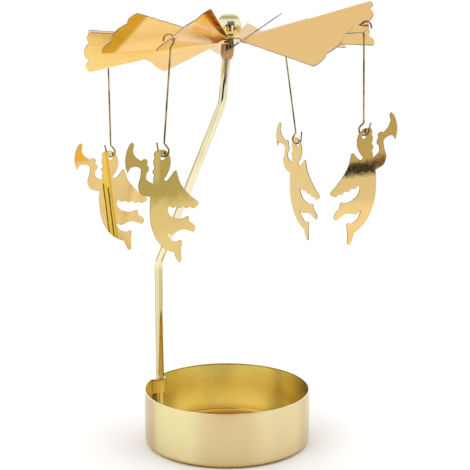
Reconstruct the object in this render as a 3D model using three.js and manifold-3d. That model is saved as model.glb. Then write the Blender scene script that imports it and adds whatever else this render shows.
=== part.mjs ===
// Candle carousel: a shallow candle cup, a twice-bent pole held in two straps of the cup wall,
// and a bladed fan that turns on a needle and carries four trumpet-blowing angels on wires.
// Millimetres, +Z up. The origin is the centre of the cup's underside.

import * as THREE from 'three';
import { mergeVertices } from 'three/addons/utils/BufferGeometryUtils.js';
import Module from 'manifold-3d';

const wasm = await Module();
wasm.setup();

// Clearances and counts shared by the whole part
const SEAT_GAP = 0.15;
const CUT_OVERRUN = 2;
const ROUND_FACETS = 48;
const ROD_FACETS = 12;
const SMALL_FACETS = 20;
const HOLE_FACETS = 14;
const LOBE_STEPS = 6;

// Cup
const CUP_RADIUS = 30;
const CUP_HEIGHT = 19.7;
const CUP_WALL = 0.5;
const CUP_CORNER_RADIUS = 2;
const CORNER_STEPS = 4;

// Straps: two bands of the wall, slit free and pressed inward round the pole
const STRAP_HEIGHT = 5.4;
const LOWER_STRAP_RISE = 2.9;
const STRAP_SPREAD = 2.1;
const STRAP_ROOT = 0.4;
const STRAP_SLIT = 0.3;
const STRAP_STEPS = 20;
const STRAP_THICKNESS_SHARE = 0.9;

// Pole: it stands in a vertical plane through the cup axis
const POLE_DIAMETER = 3;
const POLE_AZIMUTH = 156.5;
const POLE_CLEARANCE = 0.16;
const LOWER_BEND_HEIGHT = 63.4;
const UPPER_BEND_HEIGHT = 123.4;
const UPPER_BEND_OFFSET = 1.7;
const UPPER_RUN = 25.1;
const UPPER_LEAN = 6.2;
const BEND_RADIUS = 9;
const POLE_STEPS = 88;

// Needle and the collar that holds it on the pole
const NEEDLE_DIAMETER = 0.8;
const NEEDLE_POINT = 1.6;
const NEEDLE_SEAT = 3.5;
const COLLAR_WALL = 0.8;
const COLLAR_GRIP = 1.45;
const COLLAR_TAPER_LENGTH = 1.3;
const COLLAR_TAPER = 0.45;
const COLLAR_CHAMFER = 0.3;
const COLLAR_FIT = 0.1;
const COLLAR_RUNNING_GAP = 0.5;

// Rotor hub, with heights counted from the needle's tip
const BORE_CLEARANCE = 0.1;
const BUSH_WALL = 0.7;
const BUSH_LENGTH = 0.7;
const BUSH_CHAMFER = 0.2;
const FAN_BELOW_TIP = 3.4;
const BALL_DIAMETER = 8.7;
const BALL_NECK_HEIGHT = 0.6;
const LIP_DIAMETER = 7;
const LIP_HEIGHT = 0.9;
const LIP_NECK = 0.35;
const CUP_BEARING_DEPTH = 0.9;

// Rotor attitude: it hangs a little out of level on its needle
const ROTOR_TURN = -1;
const ROTOR_SIDE_TILT = 3.9;
const ROTOR_FRONT_TILT = 4.3;

// Fan: one stamped sheet whose blades are twisted at their necks
const SHEET = 0.3;
const BLADE_COUNT = 12;
const BLADE_END = 48.3;
const BLADE_CHORD = 21.8;
const BLADE_PITCH = 32.8;
const NOTCH_ADVANCE = 0.4;
const MIDDLE_LOBE_RISE = 1.8;
const SIDE_LOBE_RISE = 1.3;
const LOW_NOTCH_SHARE = 0.29;
const HIGH_NOTCH_SHARE = 0.75;
const FAN_HUB_RADIUS = 5.6;
const NECK_ROOT = 0.6;
const NECK_FOLD = 1.4;
const NECK_LENGTH = 3.4;
const NECK_LAP = 0.4;
const NECK_STEPS = 5;
const NECK_INSET_SHARE = 0.9;
const HOLE_FROM_END = 1.4;

// Blades counterclockwise from the first one on the left, with each one's own hand bend in degrees:
// droop at the neck, twist beyond the common pitch, sway in the plane of the sheet, and how far
// the neck carries the blade down, as a share of the neck's length
const FIRST_BLADE = -165;
const BLADE_BENDS = [
  { droop: 2, twist: 2.4, sway: -0.5, dropShare: 0 },
  { droop: -4.5, twist: -1.3, sway: 0.8, dropShare: 0 },
  { droop: -3.5, twist: -1.4, sway: 0.4, dropShare: 0 },
  { droop: -3.6, twist: -2.4, sway: -4.1, dropShare: 0.75 },
  { droop: 6.8, twist: 2.7, sway: 0.2, dropShare: 0 },
  { droop: -5.8, twist: -3, sway: 0.3, dropShare: 0 },
  { droop: -1.1, twist: 0, sway: 0, dropShare: 0 },
  { droop: -1.6, twist: 0.6, sway: -0.3, dropShare: 0 },
  { droop: -1.8, twist: 0.6, sway: -1.5, dropShare: 0 },
  { droop: -3.4, twist: 0.9, sway: 3.2, dropShare: 0 },
  { droop: 3.8, twist: 0.8, sway: -0.6, dropShare: 0 },
  { droop: -1.2, twist: 0, sway: 0, dropShare: 0 },
];

// Hanger wires: a hook at each end of a straight shank
const WIRE_DIAMETER = 0.6;
const WIRE_HOLE_CLEARANCE = 1.3;
const HANG_LENGTH = 37.2;
const HOOK_SLACK = 0.7;
const HOOK_LEAD_SHARE = 0.95;
const KNEE_SHARE = 1.4;
const SHANK_LEAD_SHARE = 0.5;
const TOP_HOOK_END_ANGLE = 200;
const LOW_HOOK_START_ANGLE = 150;
const HOOK_STEPS = 10;
const FREE_END_LENGTH = 2.4;
const FREE_END_FLARE = 0.65;
const TOP_FREE_END_LENGTH = 0.7;
const WIRE_STEPS = 54;
const WIRE_FACETS = 8;

// Angels: flat stamped sheet figures that hang by a hole in the head
const ANGEL_HEIGHT = 42.8;
const WIRE_IN_HOLE_GAP = 0.3;

// Hangers by the blade that carries them. The shares are the hole's place on the blade's chord and
// the wire's own length. The angles, in degrees, are the headings of the two hooks, the wire's lean
// in the front view, the heading of the angel's wing side, and the angel's lean and roll.
const HANGERS = [
  {
    name: 'left', blade: 11, holeShare: -0.25, lengthShare: 0.985,
    topHook: 143, lowHook: 161, wireLean: -0.6, wingSide: 28, lean: 8, roll: -1,
  },
  {
    name: 'front', blade: 2, holeShare: -0.2, lengthShare: 0.995,
    topHook: 165, lowHook: 173, wireLean: -6, wingSide: 38, lean: 8, roll: -2,
  },
  {
    name: 'right', blade: 5, holeShare: -0.25, lengthShare: 0.98,
    topHook: -20, lowHook: -18, wireLean: 2.6, wingSide: 212, lean: -4, roll: 7,
  },
  {
    name: 'rear', blade: 8, holeShare: -0.25, lengthShare: 1.025,
    topHook: -15, lowHook: 17, wireLean: 9.4, wingSide: -55, lean: 4, roll: 7,
  },
];

// Angel outline as shares of its height, from the hole in the head: x to the wing side, y up.
// Each run is a smooth line through its points, and the runs join end to end.
const ANGEL_RUN_SHARES = [
  [[-0.033, 0.061], [-0.066, 0.052], [-0.08, 0.029], [-0.073, 0.001]],
  [[-0.083, -0.02], [-0.08, -0.048]],
  [[-0.071, -0.062], [-0.073, -0.081]],
  [[-0.086, -0.1], [-0.08, -0.117]],
  [[-0.07, -0.13], [-0.077, -0.155], [-0.076, -0.193]],
  [[-0.12, -0.168], [-0.141, -0.147], [-0.139, -0.104]],
  [[-0.121, -0.083], [-0.123, -0.058], [-0.139, -0.04]],
  [[-0.133, -0.018], [-0.145, 0.002], [-0.165, 0.007], [-0.19, -0.004]],
  [[-0.241, 0.036], [-0.262, 0.08], [-0.256, 0.128], [-0.273, 0.145]],
  [[-0.298, 0.118], [-0.322, 0.044], [-0.322, -0.02], [-0.303, -0.082]],
  [[-0.281, -0.048], [-0.26, -0.041], [-0.208, -0.051], [-0.185, -0.072]],
  [[-0.191, -0.133], [-0.207, -0.2], [-0.18, -0.262], [-0.125, -0.284], [-0.097, -0.292]],
  [[-0.099, -0.395], [-0.081, -0.52], [-0.04, -0.622], [0.025, -0.706], [0.086, -0.748], [0.136, -0.771]],
  [[0.171, -0.845], [0.188, -0.861], [0.208, -0.845]],
  [[0.201, -0.757], [0.205, -0.684], [0.188, -0.674]],
  [[0.159, -0.685], [0.099, -0.66], [0.061, -0.6]],
  [[0.106, -0.62], [0.165, -0.6], [0.22, -0.596], [0.272, -0.617]],
  [[0.308, -0.627], [0.324, -0.598], [0.302, -0.563], [0.268, -0.538], [0.258, -0.495]],
  [[0.235, -0.494], [0.215, -0.503]],
  [[0.18, -0.505], [0.147, -0.499]],
  [[0.09, -0.468], [0.062, -0.41], [0.075, -0.386]],
  [[0.11, -0.408], [0.143, -0.398]],
  [[0.175, -0.418], [0.206, -0.408]],
  [[0.235, -0.43], [0.266, -0.42]],
  [[0.295, -0.438], [0.327, -0.424], [0.345, -0.405], [0.333, -0.384]],
  [[0.272, -0.338], [0.199, -0.265], [0.156, -0.2], [0.137, -0.145], [0.124, -0.117], [0.108, -0.117]],
  [[0.092, -0.138], [0.065, -0.17], [0.035, -0.186], [0.017, -0.172]],
  [[0.05, -0.125], [0.07, -0.06], [0.062, 0], [0.032, 0.042], [0, 0.06]],
];

// Finishes
const champagneGold = { color: 0xdcc896, roughness: 0.32, metalness: 0.9 };
const polishedGold = { color: 0xe6c67c, roughness: 0.18, metalness: 1 };
const deepGold = { color: 0x9c7a45, roughness: 0.25, metalness: 1 };
const needleSteel = { color: 0xb9bbbd, roughness: 0.2, metalness: 1 };
const wireGold = { color: 0xa98a52, roughness: 0.3, metalness: 1 };

// Sizes that follow from the ones above
const rad = THREE.MathUtils.degToRad;
const poleRadius = POLE_DIAMETER / 2;
const needleRadius = NEEDLE_DIAMETER / 2;
const collarRadius = poleRadius + COLLAR_WALL;
const wireRadius = WIRE_DIAMETER / 2;
const holeRadius = (WIRE_DIAMETER + WIRE_HOLE_CLEARANCE) / 2;
const halfChord = BLADE_CHORD / 2;
const bladeSlope = halfChord / BLADE_END;
const holePlace = BLADE_END - HOLE_FROM_END;
const hookRadius = (HOLE_FROM_END + SIDE_LOBE_RISE + HOOK_SLACK) / (1 + HOOK_LEAD_SHARE);
const neckStart = FAN_HUB_RADIUS - NECK_ROOT;
const neckFold = FAN_HUB_RADIUS + NECK_FOLD;
const neckEnd = FAN_HUB_RADIUS + NECK_LENGTH;

// The pole stands against the wall, with its foot on the rounding of the cup's floor
const wallMiddle = CUP_RADIUS - CUP_WALL / 2;
const innerCorner = CUP_CORNER_RADIUS - CUP_WALL;
const poleStand = CUP_RADIUS - CUP_WALL - 2 * SEAT_GAP - poleRadius;
const cornerRise = innerCorner - Math.sqrt(innerCorner ** 2 - (innerCorner - 2 * SEAT_GAP) ** 2);
const poleFoot = CUP_WALL + cornerRise + SEAT_GAP;

// Heights on the rotor's axis, from the needle's tip down: sheet, bush, collar, needle's foot
const fanTop = -FAN_BELOW_TIP + SHEET / 2;
const fanBottom = -FAN_BELOW_TIP - SHEET / 2;
const bushTop = fanBottom - SEAT_GAP;
const bushBottom = bushTop - BUSH_LENGTH;
const collarTop = bushBottom - COLLAR_RUNNING_GAP;
const needleFoot = collarTop - NEEDLE_SEAT;

// The bore clears the leaning needle while the tilted rotor turns round it
const rotorTilt = Math.acos(Math.cos(rad(ROTOR_SIDE_TILT)) * Math.cos(rad(ROTOR_FRONT_TILT)));
const needleSwing = -bushBottom * Math.tan(rad(UPPER_LEAN) + rotorTilt);
const hubBore = needleRadius + needleSwing + BORE_CLEARANCE;

const up = new THREE.Vector3(0, 0, 1);
const poleSide = new THREE.Vector3(Math.cos(rad(POLE_AZIMUTH)), Math.sin(rad(POLE_AZIMUTH)), 0);

// A point in the pole's plane, at an offset from the cup axis and a height
function inPolePlane(offset, height) {
  return poleSide.clone().multiplyScalar(offset).addScaledVector(up, height);
}

const upperBend = inPolePlane(UPPER_BEND_OFFSET, UPPER_BEND_HEIGHT);
const needleAxis = inPolePlane(-Math.sin(rad(UPPER_LEAN)), Math.cos(rad(UPPER_LEAN)));
const needleTip = upperBend.clone().addScaledVector(needleAxis, UPPER_RUN);

// A point on the needle's axis, at a height counted from its tip
function onNeedle(height) {
  return needleTip.clone().addScaledVector(needleAxis, height);
}

// Solids: a closed geometry to a manifold body and back

function toSolid(geometry) {
  const bare = geometry.clone();
  bare.deleteAttribute('normal');
  bare.deleteAttribute('uv');
  const merged = mergeVertices(bare);
  const vertProperties = new Float32Array(merged.attributes.position.array);
  const triVerts = new Uint32Array(merged.index.array);
  return new wasm.Manifold(new wasm.Mesh({ numProp: 3, vertProperties, triVerts }));
}

function toGeometry(solid) {
  const mesh = solid.getMesh();
  const geometry = new THREE.BufferGeometry();
  geometry.setAttribute('position', new THREE.BufferAttribute(mesh.vertProperties, 3));
  geometry.setIndex(new THREE.BufferAttribute(mesh.triVerts, 1));
  geometry.computeVertexNormals();
  return geometry;
}

function makeMesh(name, geometry, finish) {
  const mesh = new THREE.Mesh(geometry, new THREE.MeshStandardMaterial(finish));
  mesh.name = name;
  return mesh;
}

// A revolved solid with its axis along Z
function revolve(points, facets) {
  return new THREE.LatheGeometry(points, facets).rotateX(Math.PI / 2);
}

// Points of an arc between two angles in degrees, both ends included
function arcPoints(x, y, radius, startAngle, endAngle, steps) {
  const clockwise = endAngle < startAngle;
  const curve = new THREE.EllipseCurve(x, y, radius, radius, rad(startAngle), rad(endAngle), clockwise);
  return curve.getPoints(steps);
}

function circleShape(radius, facets) {
  const shape = new THREE.Shape();
  shape.setFromPoints(arcPoints(0, 0, radius, 0, 360, facets).slice(1));
  return shape;
}

// The hole that a hanger wire passes through
function roundHole(x, y) {
  return new THREE.Path(arcPoints(x, y, holeRadius, 0, 360, HOLE_FACETS).slice(1));
}

// Round rod swept along a curve
function sweepRound(curve, radius, facets, steps) {
  const section = circleShape(radius, facets);
  return new THREE.ExtrudeGeometry(section, { extrudePath: curve, steps, bevelEnabled: false });
}

// A flat shape in the common sheet, with the sheet's middle at zero
function stampSheet(shape, curveSegments) {
  const plate = new THREE.ExtrudeGeometry(shape, { depth: SHEET, bevelEnabled: false, curveSegments });
  return plate.translate(0, 0, -SHEET / 2);
}

// Candle cup

function cupProfile() {
  const lip = CUP_WALL / 2;
  const cornerX = CUP_RADIUS - CUP_CORNER_RADIUS;
  return [
    new THREE.Vector2(0, 0),
    ...arcPoints(cornerX, CUP_CORNER_RADIUS, CUP_CORNER_RADIUS, -90, 0, CORNER_STEPS),
    ...arcPoints(CUP_RADIUS - lip, CUP_HEIGHT - lip, lip, 0, 180, CORNER_STEPS - 1),
    ...arcPoints(cornerX, CUP_CORNER_RADIUS, innerCorner, 0, -90, CORNER_STEPS),
    new THREE.Vector2(0, CUP_WALL),
  ];
}

// Cuts the wall free over the strap's span, from one height to another
function strapWindow(bottom, top) {
  const depth = CUP_WALL + CUT_OVERRUN;
  const box = new THREE.BoxGeometry(depth, 2 * (poleRadius + STRAP_SPREAD), top - bottom);
  box.translate(wallMiddle, 0, (bottom + top) / 2);
  return box.rotateZ(rad(POLE_AZIMUTH));
}

// The strap's middle line in plan: it leaves the wall, arches inward round the pole and returns
function strapPoint(run, halfAngle, reach) {
  const share = run / halfAngle;
  const radius = wallMiddle - reach * Math.max(0, 1 - share * share);
  return new THREE.Vector2(radius * Math.cos(run), radius * Math.sin(run));
}

function strapBand(bottom) {
  const reach = wallMiddle - poleStand + poleRadius + POLE_CLEARANCE + CUP_WALL / 2;
  const halfAngle = Math.asin((poleRadius + STRAP_SPREAD) / wallMiddle);
  const rootAngle = halfAngle + STRAP_ROOT / wallMiddle;
  const halfThickness = CUP_WALL * STRAP_THICKNESS_SHARE / 2;
  const outside = [];
  const inside = [];
  for (let i = 0; i <= STRAP_STEPS; i += 1) {
    const run = rootAngle * (2 * i / STRAP_STEPS - 1);
    const step = rootAngle / STRAP_STEPS;
    const point = strapPoint(run, halfAngle, reach);
    const along = strapPoint(run + step, halfAngle, reach).sub(strapPoint(run - step, halfAngle, reach));
    const across = new THREE.Vector2(along.y, -along.x).setLength(halfThickness);
    outside.push(point.clone().add(across));
    inside.unshift(point.clone().sub(across));
  }
  const shape = new THREE.Shape([...outside, ...inside]);
  const band = new THREE.ExtrudeGeometry(shape, { depth: STRAP_HEIGHT, bevelEnabled: false });
  return band.translate(0, 0, bottom).rotateZ(rad(POLE_AZIMUTH));
}

function buildCup() {
  const topStrap = CUP_HEIGHT - STRAP_HEIGHT;
  const lowTop = LOWER_STRAP_RISE + STRAP_HEIGHT;
  const cup = toSolid(revolve(cupProfile(), ROUND_FACETS))
    .subtract(toSolid(strapWindow(topStrap - STRAP_SLIT, CUP_HEIGHT + CUT_OVERRUN)))
    .subtract(toSolid(strapWindow(LOWER_STRAP_RISE - STRAP_SLIT, lowTop + STRAP_SLIT)))
    .add(toSolid(strapBand(topStrap)))
    .add(toSolid(strapBand(LOWER_STRAP_RISE)));
  return makeMesh('candle_cup', toGeometry(cup), champagneGold);
}

// Pole

// Adds a straight run and the bend that follows it, and returns where the bend ends
function addRunAndBend(path, from, corner, next) {
  const before = corner.clone().sub(from).normalize();
  const after = next.clone().sub(corner).normalize();
  const setback = BEND_RADIUS * Math.tan(before.angleTo(after) / 2);
  const start = corner.clone().addScaledVector(before, -setback);
  const end = corner.clone().addScaledVector(after, setback);
  path.add(new THREE.LineCurve3(from, start));
  path.add(new THREE.QuadraticBezierCurve3(start, corner, end));
  return end;
}

function buildPole() {
  const foot = inPolePlane(poleStand, poleFoot);
  const lowerBend = inPolePlane(poleStand, LOWER_BEND_HEIGHT);
  const path = new THREE.CurvePath();
  const lowerEnd = addRunAndBend(path, foot, lowerBend, upperBend);
  const upperEnd = addRunAndBend(path, lowerEnd, upperBend, needleTip);
  path.add(new THREE.LineCurve3(upperEnd, onNeedle(needleFoot - SEAT_GAP)));
  return makeMesh('pole', sweepRound(path, poleRadius, ROD_FACETS, POLE_STEPS), champagneGold);
}

// Turned pieces that stand on the pole's top: Z runs along the needle, zero is its tip

function placeOnNeedle(mesh) {
  mesh.position.copy(needleTip);
  mesh.quaternion.setFromUnitVectors(up, needleAxis);
  return mesh;
}

function buildCollar() {
  const bottom = needleFoot - COLLAR_GRIP;
  const shoulder = needleFoot + COLLAR_FIT;
  const poleBore = poleRadius + COLLAR_FIT;
  const needleBore = needleRadius + COLLAR_FIT;
  const profile = [
    new THREE.Vector2(poleBore, bottom),
    new THREE.Vector2(collarRadius - COLLAR_TAPER, bottom),
    new THREE.Vector2(collarRadius, bottom + COLLAR_TAPER_LENGTH),
    new THREE.Vector2(collarRadius, collarTop - COLLAR_CHAMFER),
    new THREE.Vector2(collarRadius - COLLAR_CHAMFER, collarTop),
    new THREE.Vector2(needleBore, collarTop),
    new THREE.Vector2(needleBore, shoulder),
    new THREE.Vector2(poleBore, shoulder),
    new THREE.Vector2(poleBore, bottom),
  ];
  return placeOnNeedle(makeMesh('needle_collar', revolve(profile, SMALL_FACETS), deepGold));
}

function buildNeedle() {
  const profile = [
    new THREE.Vector2(0, needleFoot),
    new THREE.Vector2(needleRadius, needleFoot),
    new THREE.Vector2(needleRadius, -NEEDLE_POINT),
    new THREE.Vector2(0, 0),
  ];
  return placeOnNeedle(makeMesh('pivot_needle', revolve(profile, ROD_FACETS), needleSteel));
}

// Rotor hub: Z is the rotor's own axis, zero is the needle's tip

function buildBallCap() {
  const ballRadius = BALL_DIAMETER / 2;
  const lipRadius = LIP_DIAMETER / 2;
  const neckRadius = lipRadius - LIP_NECK;
  const neckAngle = Math.acos(neckRadius / ballRadius);
  const seat = fanTop + SEAT_GAP;
  const lipTop = seat + LIP_HEIGHT;
  const ballCentre = lipTop + BALL_NECK_HEIGHT + ballRadius * Math.sin(neckAngle);
  const startAngle = -THREE.MathUtils.radToDeg(neckAngle);
  const profile = [
    new THREE.Vector2(0, SEAT_GAP),
    new THREE.Vector2(hubBore, SEAT_GAP - CUP_BEARING_DEPTH),
    new THREE.Vector2(hubBore, seat),
    new THREE.Vector2(neckRadius, seat),
    new THREE.Vector2(lipRadius, seat + LIP_HEIGHT / 2),
    new THREE.Vector2(neckRadius, lipTop),
    ...arcPoints(0, ballCentre, ballRadius, startAngle, 90, SMALL_FACETS / 2),
  ];
  profile[profile.length - 1].x = 0;
  return makeMesh('ball_cap', revolve(profile, SMALL_FACETS), champagneGold);
}

function buildBush() {
  const outer = hubBore + BUSH_WALL;
  const profile = [
    new THREE.Vector2(hubBore, bushBottom),
    new THREE.Vector2(outer - BUSH_CHAMFER, bushBottom),
    new THREE.Vector2(outer, bushBottom + BUSH_CHAMFER),
    new THREE.Vector2(outer, bushTop),
    new THREE.Vector2(hubBore, bushTop),
    new THREE.Vector2(hubBore, bushBottom),
  ];
  return makeMesh('hub_bush', revolve(profile, SMALL_FACETS), deepGold);
}

// Fan: a blade's own frame has X along the blade, Y along the chord to the leading edge

// Where a point of a blade lies in the rotor frame; pitchShare is how far the neck has twisted
function bladePoint(index, radial, chordwise, lift, pitchShare) {
  const bend = BLADE_BENDS[index];
  const azimuth = rad(FIRST_BLADE + index * 360 / BLADE_COUNT + bend.sway);
  const pitch = rad((BLADE_PITCH + bend.twist) * pitchShare);
  const droop = radial > neckFold ? rad(bend.droop) : 0;
  const drop = bend.dropShare * NECK_LENGTH * THREE.MathUtils.smoothstep(radial, FAN_HUB_RADIUS, neckEnd);
  const outward = new THREE.Vector3(Math.cos(azimuth), Math.sin(azimuth), 0);
  const ahead = new THREE.Vector3(-Math.sin(azimuth), Math.cos(azimuth), 0);
  const along = outward.clone().multiplyScalar(Math.cos(droop)).addScaledVector(up, -Math.sin(droop));
  const above = outward.clone().multiplyScalar(Math.sin(droop)).addScaledVector(up, Math.cos(droop));
  const chord = ahead.clone().multiplyScalar(Math.cos(pitch)).addScaledVector(above, Math.sin(pitch));
  const normal = above.clone().multiplyScalar(Math.cos(pitch)).addScaledVector(ahead, -Math.sin(pitch));
  return outward.multiplyScalar(Math.min(radial, neckFold))
    .addScaledVector(along, Math.max(radial - neckFold, 0))
    .addScaledVector(chord, chordwise)
    .addScaledVector(normal, lift)
    .addScaledVector(up, -FAN_BELOW_TIP - drop);
}

function bladeShape(hanger) {
  const notchX = BLADE_END + NOTCH_ADVANCE;
  const lowNotch = halfChord * (2 * LOW_NOTCH_SHARE - 1);
  const highNotch = halfChord * (2 * HIGH_NOTCH_SHARE - 1);
  const rootHalf = neckEnd * bladeSlope;
  const cornerLift = 2 * SIDE_LOBE_RISE + BLADE_END;
  const middleLift = 2 * MIDDLE_LOBE_RISE + notchX;
  const shape = new THREE.Shape();
  shape.moveTo(neckEnd, -rootHalf);
  shape.lineTo(BLADE_END, -halfChord);
  shape.quadraticCurveTo(cornerLift, (lowNotch - halfChord) / 2, notchX, lowNotch);
  shape.quadraticCurveTo(middleLift, (lowNotch + highNotch) / 2, notchX, highNotch);
  shape.quadraticCurveTo(cornerLift, (highNotch + halfChord) / 2, BLADE_END, halfChord);
  shape.lineTo(neckEnd, rootHalf);
  shape.closePath();
  if (hanger) shape.holes.push(roundHole(holePlace, hanger.holeShare * BLADE_CHORD));
  return shape;
}

function mapPoints(geometry, place) {
  const position = geometry.attributes.position;
  for (let i = 0; i < position.count; i += 1) {
    const point = place(position.getX(i), position.getY(i), position.getZ(i));
    position.setXYZ(i, point.x, point.y, point.z);
  }
  return geometry;
}

function bladePlate(index) {
  const hanger = HANGERS.find((each) => each.blade === index);
  const plate = stampSheet(bladeShape(hanger), LOBE_STEPS);
  return mapPoints(plate, (x, y, z) => bladePoint(index, x, y, z, 1));
}

// The twisted neck is a box of one sheet thickness whose stations turn from flat to full pitch
function bladeNeck(index) {
  const length = neckEnd + NECK_LAP - neckStart;
  const neck = new THREE.BoxGeometry(length, 1, SHEET * NECK_INSET_SHARE, NECK_STEPS, 2, 1);
  neck.translate(neckStart + length / 2, 0, 0);
  return mapPoints(neck, (x, y, z) => {
    const pitchShare = THREE.MathUtils.smoothstep(x, FAN_HUB_RADIUS, neckEnd);
    const width = 2 * x * bladeSlope * NECK_INSET_SHARE;
    return bladePoint(index, x, y * width, z, pitchShare);
  });
}

function buildFan() {
  const disc = circleShape(FAN_HUB_RADIUS, ROUND_FACETS);
  disc.holes.push(circleShape(hubBore, SMALL_FACETS));
  const hub = stampSheet(disc, 1).translate(0, 0, -FAN_BELOW_TIP);
  let fan = toSolid(hub);
  for (let i = 0; i < BLADE_COUNT; i += 1) {
    fan = fan.add(toSolid(bladeNeck(i))).add(toSolid(bladePlate(i)));
  }
  return makeMesh('fan', toGeometry(fan), polishedGold);
}

// Hanger wires: the frame's zero is the hole in the blade, and the shank hangs down

class BentWire extends THREE.Curve {
  constructor(path) {
    super();
    this.path = path;
  }

  getPoint(t, target = new THREE.Vector3()) {
    return target.copy(this.path.getPointAt(t));
  }
}

function hangLength(hanger) {
  return HANG_LENGTH * hanger.lengthShare;
}

function hookDirection(degrees) {
  return new THREE.Vector3(Math.cos(rad(degrees)), Math.sin(rad(degrees)), 0);
}

// Points of a hook's round part in its own upright plane
function hookArc(centre, side, startAngle, endAngle, steps) {
  return arcPoints(0, 0, hookRadius, startAngle, endAngle, steps)
    .map((p) => centre.clone().addScaledVector(side, p.x).addScaledVector(up, p.y));
}

function wirePath(hanger) {
  const topSide = hookDirection(hanger.topHook);
  const lowSide = hookDirection(hanger.lowHook);
  const lead = hookRadius * HOOK_LEAD_SHARE;
  const topRise = Math.sqrt(hookRadius ** 2 - lead ** 2);
  const topCentre = topSide.clone().multiplyScalar(lead).addScaledVector(up, -topRise);
  const lowCentre = new THREE.Vector3(0, 0, hookRadius - hangLength(hanger));
  const topEnd = hookArc(topCentre, topSide, 0, TOP_HOOK_END_ANGLE, HOOK_STEPS);
  const lowEnd = hookArc(lowCentre, lowSide, LOW_HOOK_START_ANGLE, 360, HOOK_STEPS);
  const tailTop = topEnd[0].clone().addScaledVector(up, -TOP_FREE_END_LENGTH);
  const kneeTop = topSide.clone()
    .multiplyScalar(lead * SHANK_LEAD_SHARE)
    .addScaledVector(up, -topRise - hookRadius * KNEE_SHARE);
  const kneeLow = lowCentre.clone().addScaledVector(up, hookRadius * KNEE_SHARE);
  const tailLow = lowEnd[lowEnd.length - 1].clone()
    .addScaledVector(lowSide, FREE_END_FLARE)
    .addScaledVector(up, FREE_END_LENGTH);
  const path = new THREE.CurvePath();
  path.add(new THREE.CatmullRomCurve3([tailTop, ...topEnd, kneeTop], false, 'centripetal'));
  path.add(new THREE.LineCurve3(kneeTop, kneeLow));
  path.add(new THREE.CatmullRomCurve3([kneeLow, ...lowEnd, tailLow], false, 'centripetal'));
  return path;
}

function buildWire(hanger) {
  const wire = sweepRound(new BentWire(wirePath(hanger)), wireRadius, WIRE_FACETS, WIRE_STEPS);
  return makeMesh('hanger_wire_' + hanger.name, wire, wireGold);
}

// Angels: X to the wing side, Y up, zero at the hole in the head

function angelShape() {
  const shape = new THREE.Shape();
  const sized = ([x, y]) => new THREE.Vector2(x, y).multiplyScalar(ANGEL_HEIGHT);
  const runs = ANGEL_RUN_SHARES.map((run) => run.map(sized));
  const first = runs[0][0];
  shape.moveTo(first.x, first.y);
  shape.splineThru(runs[0].slice(1));
  runs.slice(1).forEach((run) => shape.splineThru(run));
  shape.closePath();
  shape.holes.push(roundHole(0, 0));
  return shape;
}

function buildAngel(hanger) {
  const plate = stampSheet(angelShape(), 1).rotateX(Math.PI / 2);
  return makeMesh('angel_' + hanger.name, plate, polishedGold);
}

// An angel hangs with the top of its head hole on the wire
function hangAngel(hanger) {
  const figure = buildAngel(hanger);
  figure.position.set(0, 0, wireRadius + WIRE_IN_HOLE_GAP - holeRadius);
  const joint = new THREE.Group();
  joint.rotation.set(rad(hanger.lean), rad(hanger.roll), rad(hanger.wingSide), 'ZXY');
  joint.add(figure);
  return joint;
}

// A wire with its angel: zero is the hole in the blade
function buildHanger(hanger) {
  const wire = buildWire(hanger);
  wire.rotation.y = rad(-hanger.wireLean);
  const angel = hangAngel(hanger);
  angel.position.set(0, 0, -hangLength(hanger)).applyEuler(wire.rotation);
  const hung = new THREE.Group();
  hung.add(wire, angel);
  return hung;
}

// Rotor: the fan with its hub pieces, tilted together, then the hangers in its hook holes

function buildRotor() {
  const tilt = new THREE.Group();
  tilt.rotation.set(rad(-ROTOR_FRONT_TILT), rad(-ROTOR_SIDE_TILT), rad(ROTOR_TURN), 'XYZ');
  tilt.add(buildBallCap(), buildBush(), buildFan());
  tilt.updateMatrix();
  const rotor = new THREE.Group();
  rotor.position.copy(needleTip);
  rotor.add(tilt);
  for (const hanger of HANGERS) {
    const hole = bladePoint(hanger.blade, holePlace, hanger.holeShare * BLADE_CHORD, 0, 1);
    const hung = buildHanger(hanger);
    hung.position.copy(hole.applyMatrix4(tilt.matrix));
    rotor.add(hung);
  }
  return rotor;
}

const carousel = new THREE.Group();
carousel.add(buildCup(), buildPole(), buildCollar(), buildNeedle(), buildRotor());

export default carousel;
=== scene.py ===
"""Candle carousel: a gold candle cup, a cranked pole, and a bladed fan that carries four angels on wires."""

import logging
from dataclasses import dataclass, field
from enum import Enum
from math import acos, asin, cos, degrees, pi, radians, sin, sqrt, tan
from typing import Callable, Iterable, Optional, Sequence, Union

import bmesh
import bpy
from mathutils import Matrix, Vector

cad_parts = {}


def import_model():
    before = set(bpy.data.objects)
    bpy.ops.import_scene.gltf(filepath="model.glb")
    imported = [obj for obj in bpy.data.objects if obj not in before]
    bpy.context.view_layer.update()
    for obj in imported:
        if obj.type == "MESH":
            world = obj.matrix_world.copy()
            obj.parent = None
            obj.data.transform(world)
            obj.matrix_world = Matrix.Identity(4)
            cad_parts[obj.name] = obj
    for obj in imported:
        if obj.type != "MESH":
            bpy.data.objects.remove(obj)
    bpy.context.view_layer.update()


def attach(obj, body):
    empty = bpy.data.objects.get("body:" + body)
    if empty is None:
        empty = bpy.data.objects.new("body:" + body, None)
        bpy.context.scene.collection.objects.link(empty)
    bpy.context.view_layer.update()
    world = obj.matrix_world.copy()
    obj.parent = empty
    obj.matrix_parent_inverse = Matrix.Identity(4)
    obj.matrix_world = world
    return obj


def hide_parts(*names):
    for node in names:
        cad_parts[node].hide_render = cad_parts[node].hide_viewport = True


LOG = logging.getLogger("candle_carousel")
MM = 0.001
UP = Vector((0.0, 0.0, 1.0))
CHART = "chart"

# Millimetres: the rounding of a cut sheet's edge, and how near counts as the axis, as one point and as a fold
SHEET_EDGE = 0.05
ON_AXIS = 1e-6
WELD_REACH = 0.002
FOLD_REACH = 1e-4
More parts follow.
